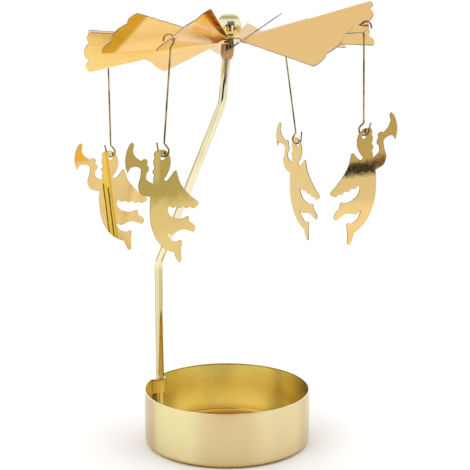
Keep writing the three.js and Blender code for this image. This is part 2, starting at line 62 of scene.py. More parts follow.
# The least upward share of a flat face's normal
FLAT_FACE = 0.99
# Spans round a small hole and over a small rounding
HOLE_STEPS = 28
ROUND_STEPS = 5

Point = tuple[float, float]
Triple = tuple[float, float, float]
Settings = Optional[dict[str, object]]


class Tree:
    """A material's or world's node tree, with one method that adds any node."""

    def __init__(self, tree: bpy.types.NodeTree) -> None:
        """Takes a node tree and empties it."""
        tree.nodes.clear()
        self.tree = tree

    def node(self, kind: str, settings: Settings = None, **inputs: object) -> bpy.types.Node:
        """Adds one node, sets its settings first and then feeds its sockets.

        Args:
            kind: the node's type name.
            settings: attributes to set.
            **inputs: values or links by socket name, with _ for a space, or by index as i0, i1.

        Returns:
            The new node.
        """
        made = self.tree.nodes.new(kind)
        for name, value in (settings or {}).items():
            setattr(made, name, value)
        for name, value in inputs.items():
            by_index = name[0] == "i" and name[1:].isdigit()
            self.feed(made.inputs[int(name[1:]) if by_index else name.replace("_", " ")], value)
        return made

    def feed(self, socket: bpy.types.NodeSocket, value: object) -> None:
        """Links a wrapped socket, or sets a plain value.

        Args:
            socket: the input socket.
            value: a Value, a number, a vector or a colour without alpha.
        """
        if isinstance(value, Value):
            self.tree.links.new(value.socket, socket)
        elif isinstance(value, tuple) and socket.type == "RGBA":
            socket.default_value = (*value, 1.0)
        else:
            socket.default_value = value

    def value(
        self, kind: str, settings: Settings = None, out: Union[int, str] = 0, **inputs: object
    ) -> "Value":
        """Adds a node, as node does, and wraps its output of that name or index."""
        return Value(self, self.node(kind, settings, **inputs).outputs[out])

    def split(self, vector: "Value") -> list["Value"]:
        """The three parts of a vector."""
        parts = self.node("ShaderNodeSeparateXYZ", Vector=vector)
        return [Value(self, output) for output in parts.outputs]


class Value:
    """A socket that adds Math nodes when Python operators are used on it."""

    def __init__(self, tree: Tree, socket: bpy.types.NodeSocket) -> None:
        """Wraps an output socket."""
        self.tree = tree
        self.socket = socket

    def math(self, operation: str, *others: object, swap: bool = False) -> "Value":
        """One Math node on this value and the others.

        Args:
            operation: the Math node's operation.
            *others: further terms.
            swap: puts this value last.

        Returns:
            The result.
        """
        terms = [*others, self] if swap else [self, *others]
        inputs = {f"i{i}": term for i, term in enumerate(terms)}
        return self.tree.value("ShaderNodeMath", {"operation": operation}, **inputs)

    def __add__(self, other: object) -> "Value":
        """Sum."""
        return self.math("ADD", other)

    def __radd__(self, other: object) -> "Value":
        """Sum with a plain number first."""
        return self.math("ADD", other, swap=True)

    def __sub__(self, other: object) -> "Value":
        """Difference."""
        return self.math("SUBTRACT", other)

    def __rsub__(self, other: object) -> "Value":
        """Difference with a plain number first."""
        return self.math("SUBTRACT", other, swap=True)

    def __mul__(self, other: object) -> "Value":
        """Product."""
        return self.math("MULTIPLY", other)

    def __rmul__(self, other: object) -> "Value":
        """Product with a plain number first."""
        return self.math("MULTIPLY", other, swap=True)

    def vector(self, operation: str, other: object) -> "Value":
        """One Vector Math node on this vector and another."""
        return self.tree.value("ShaderNodeVectorMath", {"operation": operation}, i0=self, i1=other)

    def step(self, low: float, high: float) -> "Value":
        """Rises smoothly from 0 at low to 1 at high."""
        smooth = {"interpolation_type": "SMOOTHSTEP"}
        return self.tree.value("ShaderNodeMapRange", smooth, Value=self, From_Min=low, From_Max=high)

    def noise(self, size: float, detail: float) -> "Value":
        """Noise on this vector, with features about size across."""
        return self.tree.value("ShaderNodeTexNoise", Vector=self, Scale=1 / size, Detail=detail)

    def mix(self, first: object, second: object) -> "Value":
        """Colour mix of first and second, with this value as the factor."""
        as_colour = {"data_type": "RGBA"}
        return self.tree.value("ShaderNodeMix", as_colour, out=2, i0=self, i6=first, i7=second)


def srgb(code: str) -> Triple:
    """Linear colour of a six-digit code.

    Args:
        code: six hexadecimal digits.

    Returns:
        Red, green and blue from 0 to 1.
    """
    parts = [int(code[i : i + 2], 16) / 255 for i in (0, 2, 4)]
    red, green, blue = [c / 12.92 if c <= 0.04045 else ((c + 0.055) / 1.055) ** 2.4 for c in parts]
    return red, green, blue


class Chart(Enum):
    """The coordinates that a finish is laid out on, in millimetres and degrees."""

    BLANK = "the flat blank of a stamped piece, with the piece's number third"
    ROUND_CUP = "degrees round the cup from its front, then height, then radius"
    PART = "the part's own frame"

    def coordinates(self, tree: Tree) -> Value:
        """Adds the nodes that give these coordinates.

        Args:
            tree: the material's tree.

        Returns:
            The coordinates as a vector.
        """
        if self is Chart.BLANK:
            return tree.value("ShaderNodeAttribute", {"attribute_name": CHART}, out="Vector")
        metres = tree.value("ShaderNodeTexCoord", out="Object")
        place = metres.vector("DIVIDE", (MM, MM, MM))
        if self is Chart.PART:
            return place
        x, y, z = tree.split(place)
        turn = x.math("ARCTAN2", 0 - y) * (180 / pi)
        radius = (x * x + y * y).math("SQRT")
        return tree.value("ShaderNodeCombineXYZ", X=turn, Y=z, Z=radius)


@dataclass(frozen=True)
class Span:
    """A stretch along one axis of a chart, with soft edges."""

    axis: int
    low: float
    high: float
    soft: float = 0.3

    def cover(self, parts: Sequence[Value]) -> Value:
        """1 inside the stretch and 0 outside it.

        Args:
            parts: the chart's three coordinates.

        Returns:
            The cover.
        """
        place = parts[self.axis]
        inside = place.step(self.low - self.soft, self.low + self.soft)
        return inside * (1 - place.step(self.high - self.soft, self.high + self.soft))


@dataclass(frozen=True)
class Tone:
    """Painted reflections and shade on a stretch of a chart turned by degrees; wander is how uneven its edges
    are.
    """

    shade: str
    spans: tuple[Span, ...]
    turn: float = 0.0
    wander: float = 0.0
    strength: float = 1.0

    def cover(self, tree: Tree, chart: Value, drift: Value) -> Value:
        """How much of the shade shows.

        Args:
            tree: the material's tree.
            chart: the finish's coordinates.
            drift: noise from -0.5 to 0.5, by which the edges wander.

        Returns:
            The cover, 0 to 1.
        """
        place = chart
        if self.wander:
            place = place.vector("ADD", drift.vector("MULTIPLY", (self.wander, self.wander, 0.0)))
        if self.turn:
            turned = {"rotation_type": "Z_AXIS"}
            place = tree.value("ShaderNodeVectorRotate", turned, Vector=place, Angle=radians(self.turn))
        parts = tree.split(place)
        shown = self.strength * self.spans[0].cover(parts)
        for span in self.spans[1:]:
            shown = shown * span.cover(parts)
        return shown


@dataclass(frozen=True)
class Metal:
    """A plated finish: its shades, the reflections and shade painted on it, its polish and the unevenness
    under it, with sizes in millimetres.
    """

    name: str
    light: str
    deep: str
    roughness: float
    chart: Chart
    stretch: Triple
    painted_light: tuple[Tone, ...] = ()
    patch_size: float = 14.0
    patch_detail: float = 2.0
    patch_edges: Point = (0.36, 0.66)
    patch_strength: float = 0.5
    patch_roughness: float = 0.04
    mark_size: float = 1.6
    mark_detail: float = 4.0
    mark_edges: Point = (0.42, 0.72)
    mark_strength: float = 0.16
    mark_roughness: float = 0.05
    mark_depth: float = 0.0015
    drift_scale: float = 0.45
    drift_detail: float = 3.0
    wave_size: float = 12.0
    wave_detail: float = 0.5
    wave_depth: float = 0.06
    grazing: str = "FFFFFF"

    def build(self) -> bpy.types.Material:
        """Makes the material: patches and marks of shade, painted reflections and shade over them, and a
        faintly uneven surface.

        Returns:
            The new material.
        """
        material = bpy.data.materials.new(self.name)
        material.use_nodes = True
        tree = Tree(material.node_tree)
        chart = self.chart.coordinates(tree)
        part = chart if self.chart is Chart.PART else Chart.PART.coordinates(tree)
        patch = part.noise(self.patch_size, self.patch_detail).step(*self.patch_edges)
        grain = chart.vector("MULTIPLY", self.stretch)
        marks = grain.noise(self.mark_size, self.mark_detail).step(*self.mark_edges)
        colour = (self.patch_strength * patch).mix(srgb(self.light), srgb(self.deep))
        if self.painted_light:
            noise = {"Vector": part, "Scale": self.drift_scale, "Detail": self.drift_detail}
            drift = tree.value("ShaderNodeTexNoise", out="Color", **noise).vector("SUBTRACT", (0.5, 0.5, 0.5))
            # Painted reflections and shade are mixed over the metal's own colour
            for tone in self.painted_light:
                colour = tone.cover(tree, chart, drift).mix(colour, srgb(tone.shade))
        colour = (self.mark_strength * marks).mix(colour, srgb(self.deep))
        rough = self.roughness + self.patch_roughness * patch + self.mark_roughness * marks
        waves = part.noise(self.wave_size, self.wave_detail)
        height = waves * (self.wave_depth * MM) + marks * (self.mark_depth * MM)
        normal = tree.value("ShaderNodeBump", Strength=1.0, Distance=1.0, Height=height)
        surface = {"Base_Color": colour, "Metallic": 1.0, "Roughness": rough, "Normal": normal}
        surface["Specular_Tint"] = srgb(self.grazing)
        shader = tree.value("ShaderNodeBsdfPrincipled", **surface)
        tree.node("ShaderNodeOutputMaterial", Surface=shader)
        return material


# How much finer the small marks are along each axis of a chart
AROUND = (0.02, 5.0, 0.0)
ALONG_SHEET = (0.12, 1.4, 3.1)
EVEN_GRAIN = (1.0, 1.0, 3.1)
DRAWN = (2.4, 2.4, 0.12)
TURNED = (0.4, 0.4, 3.0)
# The cup's two faces, told apart by the radius of its wall's middle
WALL = 29.72
OUTSIDE = Span(2, WALL, 40.0, 0.02)
INSIDE = Span(2, -1.0, WALL, 0.02)
# Past the end of every blade, below the angels' feet and above their heads
PAST_END = 60.0
BELOW_FEET = -60.0
ABOVE_HEAD = 20.0
# The turn that sets an angel's chart upright as the angel hangs
AS_HUNG = -8.0


def blade_span(first: int, last: int) -> Span:
    """The blades from one number to another."""
    return Span(2, first - 0.5, last + 0.5, 0.1)


def front_blade_reflection(shade: str, across: Triple, along: Triple, turn: float, wander: float = 1.5) -> Tone:
    """A painted reflection band on the front blade; across and along are each its low edge, high edge and
    softness.
    """
    return Tone(shade, (Span(1, *across), Span(0, *along), blade_span(2, 2)), turn, wander)


def left_angel_reflection_line(shade: str, low: float, high: float, soft: float, top: float, wander: float = 0.0) -> Tone:
    """A thin upright painted reflection line on the left angel, from its feet to a height."""
    return Tone(shade, (Span(0, low, high, soft), Span(1, BELOW_FEET, top)), AS_HUNG, wander)


CUP_GOLD = Metal(
    "cup_gold",
    "E6D5A2",
    "DAC58E",
    0.2,
    Chart.ROUND_CUP,
    AROUND,
    (
        # Painted reflections: lighter and darker bands round the outside of the wall
        Tone("CAB18A", (Span(0, -115, -57, 6), OUTSIDE)),
        Tone("E6DAA4", (Span(0, -49, -21, 7), OUTSIDE)),
        Tone("D6C08F", (Span(0, -17, 22, 9), OUTSIDE), strength=0.9),
        Tone("DECA9D", (Span(0, 30, 54, 9), OUTSIDE), strength=0.8),
        Tone("CDBA8E", (Span(0, 60, 115, 7), OUTSIDE), strength=0.9),
        # Painted light on the inside, deeper towards the floor, with painted shade in the floor's corner
        Tone("FFF4BC", (INSIDE,)),
        Tone("F2DC98", (Span(1, -1.0, 3.2, 1.0), INSIDE)),
        Tone("DDB65A", (Span(1, -1.0, 1.9, 0.4), Span(2, 25.6, WALL, 0.5))),
        # A painted shade line just under the rim inside, and a painted highlight along the rim
        Tone("8A7034", (Span(1, 19.1, 19.5, 0.08), INSIDE), strength=0.8),
        Tone("FFF6DA", (Span(1, 19.55, 21.0, 0.04),)),
    ),
    patch_strength=0.25,
    mark_size=1.0,
    mark_depth=0.0002,
)
PLATE_GOLD = Metal(
    "plate_gold",
    "F4CE86",
    "F0C77E",
    0.14,
    Chart.BLANK,
    ALONG_SHEET,
    (
        # Painted reflections: some blades tinted lighter, some deeper, some pinker, by the light each catches
        Tone("FFDC8C", (blade_span(0, 0),)),
        Tone("E6C283", (blade_span(4, 6),)),
        Tone("E8D2C6", (blade_span(7, 9),), strength=0.6),
        Tone("EAC78E", (blade_span(10, 11),)),
        # Painted highlight on one half of blade 3's neck and painted shade on the other
        Tone("F6EBCB", (Span(0, 4.0, 9.6, 0.5), Span(1, 0.0, 4.0, 0.3), blade_span(3, 3))),
        Tone("4E4020", (Span(0, 4.0, 9.6, 0.5), Span(1, -4.0, 0.2, 0.3), blade_span(3, 3))),
        # Painted reflections: a dark gold strip at blade 1's end, and the front blade deeper gold with orange
        # and pink bands
        Tone("CC971E", (Span(0, 43.6, PAST_END, 1.3), blade_span(1, 1))),
        Tone("DEAA46", (blade_span(2, 2),)),
        front_blade_reflection("EED2AE", (-1.7, 1.7, 0.7), (14.0, PAST_END, 3.0), 4.3),
        front_blade_reflection("F2CBA2", (-1.5, 5.9, 0.5), (20.0, PAST_END, 3.0), 2.1),
        front_blade_reflection("E8AC2C", (-2.0, 0.6, 0.4), (14.0, 44.5, 1.5), -3.4, 2.5),
        front_blade_reflection("FFCC30", (5.9, 20.0, 0.4), (30.0, PAST_END, 2.0), 2.1),
    ),
    grazing="F9E6CC",
)
# The cut edges' shades are painted reflections: bluish-grey lines on the fan's edges and dark lines on the
# angels'
FAN_EDGE = Metal(
    "fan_edge", "A79CA8", "554A52", 0.3, Chart.BLANK, ALONG_SHEET, patch_size=5.0, patch_strength=1.0
)
ANGEL_EDGE = Metal(
    "angel_edge", "B08C58", "4F3E22", 0.3, Chart.BLANK, ALONG_SHEET, patch_size=4.0, patch_strength=1.0
)
POLE_GOLD = Metal(
    "pole_gold",
    "EDE5C4",
    "DED3A6",
    0.06,
    Chart.PART,
    DRAWN,
    (
        # Painted reflections: the lower pole darker, deeper on its right half, with a dark line down its left
        # edge
        Tone("DDD1A6", (Span(2, -5.0, 62.0, 2.0),)),
        Tone("C2B482", (Span(0, -25.2, -20.0, 0.2), Span(2, 18.0, 62.0, 2.0))),
        Tone("83764A", (Span(0, -30.0, -26.65, 0.08), Span(2, 18.0, 63.0, 1.0))),
    ),
    wave_depth=0.01,
)
CAP_GOLD = Metal(
    "cap_gold",
    "F1EAC4",
    "E3D8A8",
    0.05,
    Chart.PART,
    TURNED,
    # A painted reflection: a darker olive band round the ball's upper part
    (Tone("B5A474", (Span(2, 152.1, 153.3, 0.5),)),),
    wave_depth=0.01,
    patch_size=5.0,
)
COLLAR_BRONZE = Metal(
    "collar_bronze", "B48C5A", "84603A", 0.14, Chart.PART, TURNED, patch_size=4.0, wave_depth=0.01
)
BUSH_BRONZE = Metal(
    "bush_bronze", "6B4A42", "3A2826", 0.2, Chart.PART, TURNED, patch_size=3.0, wave_depth=0.01
)
WIRE_GOLD = Metal(
    "wire_gold",
    "C2A468",
    "6E5634",
    0.2,
    Chart.PART,
    DRAWN,
    patch_size=5.0,
    patch_strength=1.0,
    wave_depth=0.01,
)
NEEDLE_STEEL = Metal("needle_steel", "D4D5D6", "A4A6A8", 0.14, Chart.PART, DRAWN, wave_depth=0.01)


def angel_gold(name: str, light: str, deep: str, *painted_light: Tone) -> Metal:
    """One angel's finish, from its lighter and deeper shade, set by the light that angel catches, and its
    painted reflections and shade.
    """
    grain = {"patch_size": 9.0, "mark_size": 0.6}
    return Metal(f"angel_gold_{name}", light, deep, 0.16, Chart.BLANK, EVEN_GRAIN, painted_light, **grain)


ANGEL_GOLDS = {
    "left": angel_gold(
        "left",
        "DEBE7E",
        "D7B775",
        # A painted highlight band that offsets a dark reflection low on the body, deeper orange gold on the
        # trumpet, and dark painted reflection lines
        Tone("FFE0A0", (Span(0, 9.3, 13.7, 2.0), Span(1, BELOW_FEET, -7.0, 2.0)), turn=12.5, strength=0.6),
        Tone("E0A63A", (Span(0, -15.0, -8.6, 0.9), Span(1, -0.6, 9.0, 0.8)), wander=1.0),
        left_angel_reflection_line("E2BE58", -4.8, -0.8, 0.2, 9.0),
        left_angel_reflection_line("CC9E38", -1.9, -1.1, 0.3, 9.0),
        left_angel_reflection_line("5F4A10", -2.8, -2.2, 0.15, -11.0, 0.5),
        left_angel_reflection_line("D9B348", -3.8, -2.8, 0.2, -9.0),
        left_angel_reflection_line("5F4A14", -4.4, -3.9, 0.15, -9.0, 0.5),
    ),
    "front": angel_gold(
        "front",
        "DBC081",
        "D3B674",
        # Painted reflections: darker towards the head, with a slightly darker strip near it
        Tone("D2B772", (Span(1, -25.0, ABOVE_HEAD, 4.0),), wander=4.0),
        Tone("A7904A", (Span(1, -14.5, ABOVE_HEAD, 3.4),), wander=5.0),
        Tone("C1AC6C", (Span(0, -3.6, -1.2, 0.6), Span(1, -8.0, 4.0, 1.5)), strength=0.7),
    ),
    "right": angel_gold(
        "right",
        "E8C684",
        "DFBC78",
        # Painted reflections: the upper body darker, with a dark band across the chest
        Tone("D3B578", (Span(1, -23.0, ABOVE_HEAD, 2.4),), turn=AS_HUNG, wander=2.0),
        Tone("B3964F", (Span(1, -11.0, ABOVE_HEAD, 1.6),), turn=AS_HUNG, wander=2.0),
        Tone("6E4C2A", (Span(0, -11.0, -4.5, 1.5), Span(1, -11.6, -7.2, 1.5)), turn=AS_HUNG, wander=3.0),
        Tone("2A2114", (Span(0, -6.0, 20.0, 1.6), Span(1, -13.2, -8.8, 1.3)), turn=AS_HUNG, wander=3.0),
    ),
    "rear": angel_gold(
        # A painted reflection: a darker patch on the rear angel
        "rear", "DFC286", "D9BC7F", Tone("C6AA62", (Span(0, -14.5, -9.0, 1.0), Span(1, -4.0, -1.5, 0.6)))
    ),
}


def link(name: str, data: bpy.types.ID) -> bpy.types.Object:
    """Puts a mesh, a curve, a camera or a lamp in the scene.

    Args:
        name: the object's name.
        data: what the object holds.

    Returns:
        The new object.
    """
    made = bpy.data.objects.new(name, data)
    bpy.context.scene.collection.objects.link(made)
    return made


def shade(made: bpy.types.Object, limit: float = 32.0) -> bpy.types.Object:
    """Smooth shading that stays crisp on sharp edges.

    Args:
        made: the piece.
        limit: degrees from which an edge is sharp.

    Returns:
        The same piece.
    """
    work = bmesh.new()
    work.from_mesh(made.data)
    bmesh.ops.recalc_face_normals(work, faces=work.faces)
    for face in work.faces:
        face.smooth = True
    for edge in work.edges:
        edge.smooth = edge.calc_face_angle(pi) < radians(limit)
    work.to_mesh(made.data)
    work.free()
    return made


def mesh_of(
    name: str, points: Iterable[Vector], faces: Iterable[Sequence[int]], scale: float = MM
) -> bpy.types.Object:
    """An object from points and faces.

    Args:
        name: the object's name.
        points: its points.
        faces: the points' numbers, face by face.
        scale: metres in the points' unit.

    Returns:
        The new object.
    """
    mesh = bpy.data.meshes.new(name)
    mesh.from_pydata([p * scale for p in points], [], [list(f) for f in faces])
    mesh.validate()
    return link(name, mesh)


def rotation(angle: float, axis: str) -> Matrix:
    """A turn by an angle in degrees about X, Y or Z."""
    return Matrix.Rotation(radians(angle), 4, axis)


def bezier(start: Vector, pull: Vector, end: Vector, share: float) -> Vector:
    """The point at a share of the curve that is drawn from start to end towards pull."""
    return start.lerp(pull, share).lerp(pull.lerp(end, share), share)


def arc(x: float, y: float, radius: float, start: float, end: float, steps: int) -> list[Point]:
    """Points of an arc about (x, y) from one angle in degrees to another, both ends included."""
    angles = [radians(start + (end - start) * i / steps) for i in range(steps + 1)]
    return [(x + radius * cos(a), y + radius * sin(a)) for a in angles]


def round_hole(x: float, y: float, radius: float) -> list[Point]:
    """The outline of a small round hole in a blank."""
    return arc(x, y, radius, 360, 0, HOLE_STEPS)[:-1]


def lathe(name: str, profile: Sequence[Point], sides: int, closed: bool = False) -> bpy.types.Object:
    """Revolves a profile of (radius, height) about Z.

    Args:
        name: the piece's name.
        profile: points in millimetres; a radius of 0 becomes a pole point.
        sides: facets round the axis.
        closed: joins the last point to the first.

    Returns:
        The new object.
    """
    points: list[Vector] = []
    rings: list[list[int]] = []
    turns = [2 * pi * k / sides for k in range(sides)]
    for radius, height in profile:
        first = len(points)
        if radius < ON_AXIS:
            points.append(Vector((0, 0, height)))
        else:
            points.extend(Vector((radius * cos(a), radius * sin(a), height)) for a in turns)
        rings.append(list(range(first, len(points))))
    pairs = list(zip(rings, rings[1:])) + ([(rings[-1], rings[0])] if closed else [])
    faces: list[list[int]] = []
    for low, high in pairs:
        for k in range(sides):
            after = (k + 1) % sides
            if len(low) == 1:
                faces.append([low[0], high[after], high[k]])
            elif len(high) == 1:
                faces.append([low[k], low[after], high[0]])
            else:
                faces.append([low[k], low[after], high[after], high[k]])
    return mesh_of(name, points, faces)


def smooth_line(points: Sequence[Vector], steps: int) -> list[Vector]:
    """A centripetal curve through points.

    Args:
        points: the points it passes.
        steps: spans between two of them.

    Returns:
        The points of the curve.
    """
    padded = [2 * points[0] - points[1], *points, 2 * points[-1] - points[-2]]
    made: list[Vector] = []
    for i in range(1, len(padded) - 2):
        p0, p1, p2, p3 = padded[i - 1 : i + 3]
        t1 = sqrt((p1 - p0).length)
        t2 = t1 + sqrt((p2 - p1).length)
        t3 = t2 + sqrt((p3 - p2).length)
        for k in range(steps):
            t = t1 + (t2 - t1) * k / steps
            a1 = p0.lerp(p1, t / t1)
            a2 = p1.lerp(p2, (t - t1) / (t2 - t1))
            a3 = p2.lerp(p3, (t - t2) / (t3 - t2))
            b1 = a1.lerp(a2, t / t2)
            b2 = a2.lerp(a3, (t - t1) / (t3 - t1))
            made.append(b1.lerp(b2, (t - t1) / (t2 - t1)))
    made.append(points[-1].copy())
    return made


def rod(name: str, line: Sequence[Vector], radius: float, sides: int, nose: float) -> bpy.types.Object:
    """A round rod along a line, with a small rounded nose at each end.

    Args:
        name: the piece's name.
        line: points in millimetres.
        radius: the rod's radius.
        sides: facets round it.
        nose: size of the rounding at the ends.

    Returns:
        The new object.
    """
    last_point = len(line) - 1
    tangents = [(line[min(i + 1, last_point)] - line[max(i - 1, 0)]).normalized() for i in range(len(line))]
    side = tangents[0].orthogonal().normalized()
    frames: list[tuple[Vector, Vector]] = []
    for i, tangent in enumerate(tangents):
        if i:
            side = tangents[i - 1].rotation_difference(tangent) @ side
        side = (side - tangent * side.dot(tangent)).normalized()
        frames.append((side.copy(), tangent.cross(side)))
    stations = [(line[0], frames[0], radius - nose), (line[0] + tangents[0] * nose, frames[0], radius)]
    stations += [(line[i], frames[i], radius) for i in range(1, last_point)]
    stations += [(line[-1] - tangents[-1] * nose, frames[-1], radius), (line[-1], frames[-1], radius - nose)]
    turns = [2 * pi * k / sides for k in range(sides)]
    points = [line[0].copy()]
    for centre, (first, second), size in stations:
        points.extend(centre + first * (size * cos(a)) + second * (size * sin(a)) for a in turns)
    points.append(line[-1].copy())
    last = len(points) - 1
    faces: list[list[int]] = []
    for k in range(sides):
        after = (k + 1) % sides
        faces.append([0, 1 + after, 1 + k])
        faces.append([last, last - sides + k, last - sides + after])
        for s in range(len(stations) - 1):
            low, high = 1 + s * sides, 1 + (s + 1) * sides
            faces.append([low + k, low + after, high + after, high + k])
    return shade(mesh_of(name, points, faces), limit=60.0)


@dataclass
class Blank:
    """The flat blank of a stamped piece, in millimetres."""

    outline: Sequence[Point]
    holes: Sequence[Sequence[Point]] = ()
    thickness: float = 0.3
    edge: float = SHEET_EDGE
    folds: Sequence[float] = ()
    number: int = 0

    def flat_mesh(self, name: str) -> bpy.types.Mesh:
        """Fills the outline and rounds its edges.

        Args:
            name: the piece's name.

        Returns:
            The flat mesh, in millimetres.
        """
        curve = bpy.data.curves.new(name, "CURVE")
        curve.dimensions = "2D"
        curve.fill_mode = "BOTH"
        curve.extrude = self.thickness / 2 - self.edge
        curve.bevel_depth = self.edge
        curve.bevel_resolution = 1
        curve.offset = -self.edge
        for line in (self.outline, *self.holes):
            spline = curve.splines.new("POLY")
            spline.points.add(len(line) - 1)
            spline.use_cyclic_u = True
            for point, (x, y) in zip(spline.points, line):
                point.co = (x, y, 0.0, 1.0)
        flat = link(name, curve)
        graph = bpy.context.evaluated_depsgraph_get()
        mesh = bpy.data.meshes.new_from_object(flat.evaluated_get(graph))
        bpy.data.objects.remove(flat)
        return mesh

    def press(self, name: str, place: Callable[[float, float, float], Vector]) -> bpy.types.Object:
        """Bends the blank into its shape; its cut edges take the second finish.

        Args:
            name: the piece's name.
            place: maps a point of the blank to its place, both in millimetres.

        Returns:
            The new object, which keeps its blank's coordinates as an attribute.
        """
        mesh = self.flat_mesh(name)
        work = bmesh.new()
        work.from_mesh(mesh)
        bmesh.ops.remove_doubles(work, verts=work.verts, dist=WELD_REACH)
        for x in self.folds:
            every = [*work.verts, *work.edges, *work.faces]
            plane = {"plane_co": (x, 0, 0), "plane_no": (1, 0, 0)}
            bmesh.ops.bisect_plane(work, geom=every, dist=FOLD_REACH, **plane)
        chart = work.verts.layers.float_vector.new(CHART)
        work.normal_update()
        for face in work.faces:
            face.smooth = True
            face.material_index = int(abs(face.normal.z) < FLAT_FACE)
        for edge in work.edges:
            edge.smooth = len({face.material_index for face in edge.link_faces}) == 1
        for vertex in work.verts:
            vertex[chart] = (vertex.co.x, vertex.co.y, self.number)
            vertex.co = place(*vertex.co) * MM
        work.to_mesh(mesh)
        work.free()
        return link(name, mesh)


def joined(name: str, parts: Sequence[bpy.types.Object]) -> bpy.types.Object:
    """Joins meshes that make one piece, with their blanks' coordinates.

    Args:
        name: the piece's name.
        parts: its meshes, which are used up.

    Returns:
        The new object.
    """
    work = bmesh.new()
    places: list[float] = []
    for part in parts:
        values = [0.0] * (3 * len(part.data.vertices))
        if CHART in part.data.attributes:
            part.data.attributes[CHART].data.foreach_get("vector", values)
        places += values
        work.from_mesh(part.data)
        bpy.data.objects.remove(part)
    mesh = bpy.data.meshes.new(name)
    work.to_mesh(mesh)
    work.free()
    kept = mesh.attributes.get(CHART) or mesh.attributes.new(CHART, "FLOAT_VECTOR", "POINT")
    kept.data.foreach_set("vector", places)
    return link(name, mesh)


def carve(target: bpy.types.Object, tool: bpy.types.Object) -> None:
    """Cuts a tool's shape out of a piece.

    Args:
        target: the piece.
        tool: the shape to cut out, which is used up.
    """
    cut = target.modifiers.new("cut", "BOOLEAN")
    cut.operation = "DIFFERENCE"
    cut.solver = "EXACT"
    cut.object = tool
    graph = bpy.context.evaluated_depsgraph_get()
    mesh = bpy.data.meshes.new_from_object(target.evaluated_get(graph))
    target.modifiers.clear()
    target.data = mesh
    bpy.data.objects.remove(tool)


def dress(made: bpy.types.Object, node: str, body: str, slot: str, *finishes: bpy.types.Material) -> None:
    """Gives a piece its finishes, stands it for its CAD node and sets it riding on its body.

    Args:
        made: the piece.
        node: the CAD node it stands for.
        body: the body it rides on.
        slot: the record's material slot; not used.
        *finishes: its materials, in the order of its faces' numbers.
    """
    if made.data.materials:
        made.data.materials.clear()
    for finish in finishes:
        made.data.materials.append(finish)
    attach(made, body)
    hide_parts(node)
    LOG.info("%s: %d faces, rides on %s", made.name, len(made.data.polygons), body)


@dataclass
class Cup:
    """The candle cup with its two straps, in millimetres; flat_floor is a share of the floor's radius."""

    pole: "Pole"
    radius: float = 30.0
    height: float = 19.7
    wall: float = 0.5
    corner: float = 2.0
    strap_height: float = 5.4
    low_strap: float = 2.9
    strap_half_span: float = 3.6
    strap_root: float = 0.4
    strap_share: float = 0.9
    slit: float = 0.3
    pole_clearance: float = 0.16
    flat_floor: float = 0.86
    window_reach: float = 1.3
    sides: int = 240
    corner_steps: int = 10
    rounding_steps: int = 8
    strap_steps: int = 48

    @property
    def middle(self) -> float:
        """Radius of the wall's middle."""
        return self.radius - self.wall / 2

    def profile(self) -> list[Point]:
        """The wall and floor section.

        Returns:
            Points from the underside's middle to the floor's middle.
        """
        lip = self.wall / 2
        x = self.radius - self.corner
        return [
            (0.0, 0.0),
            (x * self.flat_floor, 0.0),
            *arc(x, self.corner, self.corner, -90, 0, self.corner_steps),
            *arc(self.radius - lip, self.height - lip, lip, 0, 180, self.rounding_steps),
            *arc(x, self.corner, self.corner - self.wall, 0, -90, self.rounding_steps),
            (x * self.flat_floor, self.wall),
            (0.0, self.wall),
        ]

    def turned_to_pole(self, made: bpy.types.Object) -> bpy.types.Object:
        """Turns a piece from the X axis to the pole's side."""
        made.data.transform(rotation(self.pole.azimuth, "Z"))
        return made

    def window(self, low: float, high: float) -> bpy.types.Object:
        """A block that frees the wall.

        Args:
            low: the block's lower height.
            high: its upper height.

        Returns:
            The block.
        """
        reach, half = self.window_reach, self.strap_half_span
        plan = [(self.middle + reach * i, half * j) for j in (-1, 1) for i in (-1, 1)]
        corners = [Vector((x, y, z)) for z in (low, high) for x, y in plan]
        faces = [[0, 2, 3, 1], [4, 5, 7, 6], [0, 1, 5, 4], [2, 6, 7, 3], [0, 4, 6, 2], [1, 3, 7, 5]]
        return self.turned_to_pole(mesh_of("window", corners, faces))

    def strap(self, low: float) -> bpy.types.Object:
        """One pressed strap: it leaves the wall, arches inward round the pole and returns.

        Args:
            low: the strap's lower height.

        Returns:
            The strap.
        """
        reach = self.middle - self.pole.stand + self.pole.radius + self.pole_clearance + self.wall / 2
        half_angle = asin(self.strap_half_span / self.middle)
        root = half_angle + self.strap_root / self.middle
        steps = self.strap_steps
        half = self.strap_share * self.wall / 2
        high = low + self.strap_height
        section = ((1, low), (1, high), (-1, high), (-1, low))

        def line(run: float) -> Vector:
            """The strap's middle line at an angle from the pole."""
            r = self.middle - reach * max(0.0, 1 - (run / half_angle) ** 2)
            return Vector((r * cos(run), r * sin(run), 0))

        points: list[Vector] = []
        for i in range(steps + 1):
            run = root * (2 * i / steps - 1)
            along = (line(run + root / steps) - line(run - root / steps)).normalized()
            across = Vector((along.y, -along.x, 0)) * half
            points += [line(run) + across * side + UP * z for side, z in section]
        faces: list[list[int]] = []
        for i in range(0, 4 * steps, 4):
            faces += [[i + k, i + (k + 1) % 4, i + 4 + (k + 1) % 4, i + 4 + k] for k in range(4)]
        faces += [[0, 3, 2, 1], [4 * steps + k for k in range(4)]]
        return shade(self.turned_to_pole(mesh_of("strap", points, faces)))

    def build(self) -> None:
        """Turns the dish, frees the two windows and puts the straps in them."""
        made = shade(lathe("cup", self.profile(), self.sides))
        top = self.height - self.strap_height
        carve(made, self.window(top - self.slit, self.height + self.corner))
        carve(made, self.window(self.low_strap - self.slit, self.low_strap + self.strap_height + self.slit))
        made = joined("candle_cup_skin", [made, self.strap(top), self.strap(self.low_strap)])
        dress(shade(made), "candle_cup", "cup", "champagne_gold", CUP_GOLD.build())


